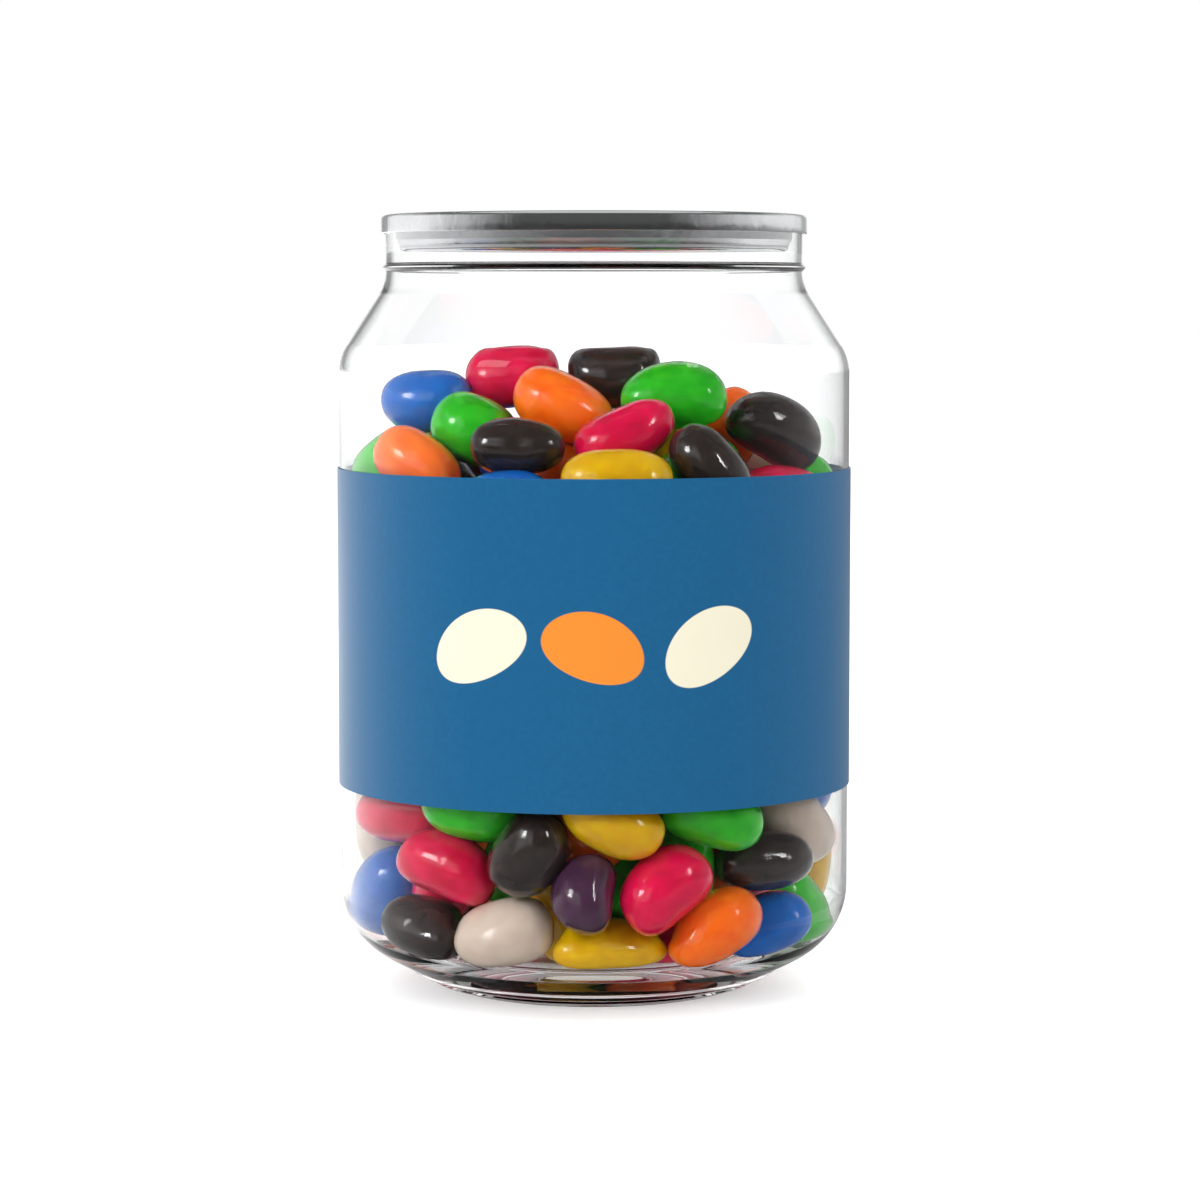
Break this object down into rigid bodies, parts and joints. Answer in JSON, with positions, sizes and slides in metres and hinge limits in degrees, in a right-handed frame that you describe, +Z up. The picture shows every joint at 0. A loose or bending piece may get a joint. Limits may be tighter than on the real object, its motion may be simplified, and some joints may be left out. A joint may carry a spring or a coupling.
{
  "type": "jar of jelly beans",
  "caption": "Clear shouldered jar filled with a heap of assorted jelly beans, shut by a seamed metal end with a pull ring, with a plain wrap label round its body.",
  "frame": {"origin": "centre of the standing ring, on the surface that the jar stands on", "axes": "+Z up along the jar's axis, -Y towards the front of the label"},
  "size_m": [0.0826, 0.0826, 0.1239],
  "materials": {
    "clear_plastic": "clear, smooth and glossy",
    "bare_metal": "satin, lightly brushed",
    "label_film": "satin blue print on film",
    "sweets": "polished sugar shell, mixed colours"
  },
  "bodies": {
    "root": {"jar": "clear_plastic", "lid": "bare_metal", "pull_ring": "bare_metal", "label": "label_film", "jelly_beans": "sweets"}
  },
  "joints": []
}
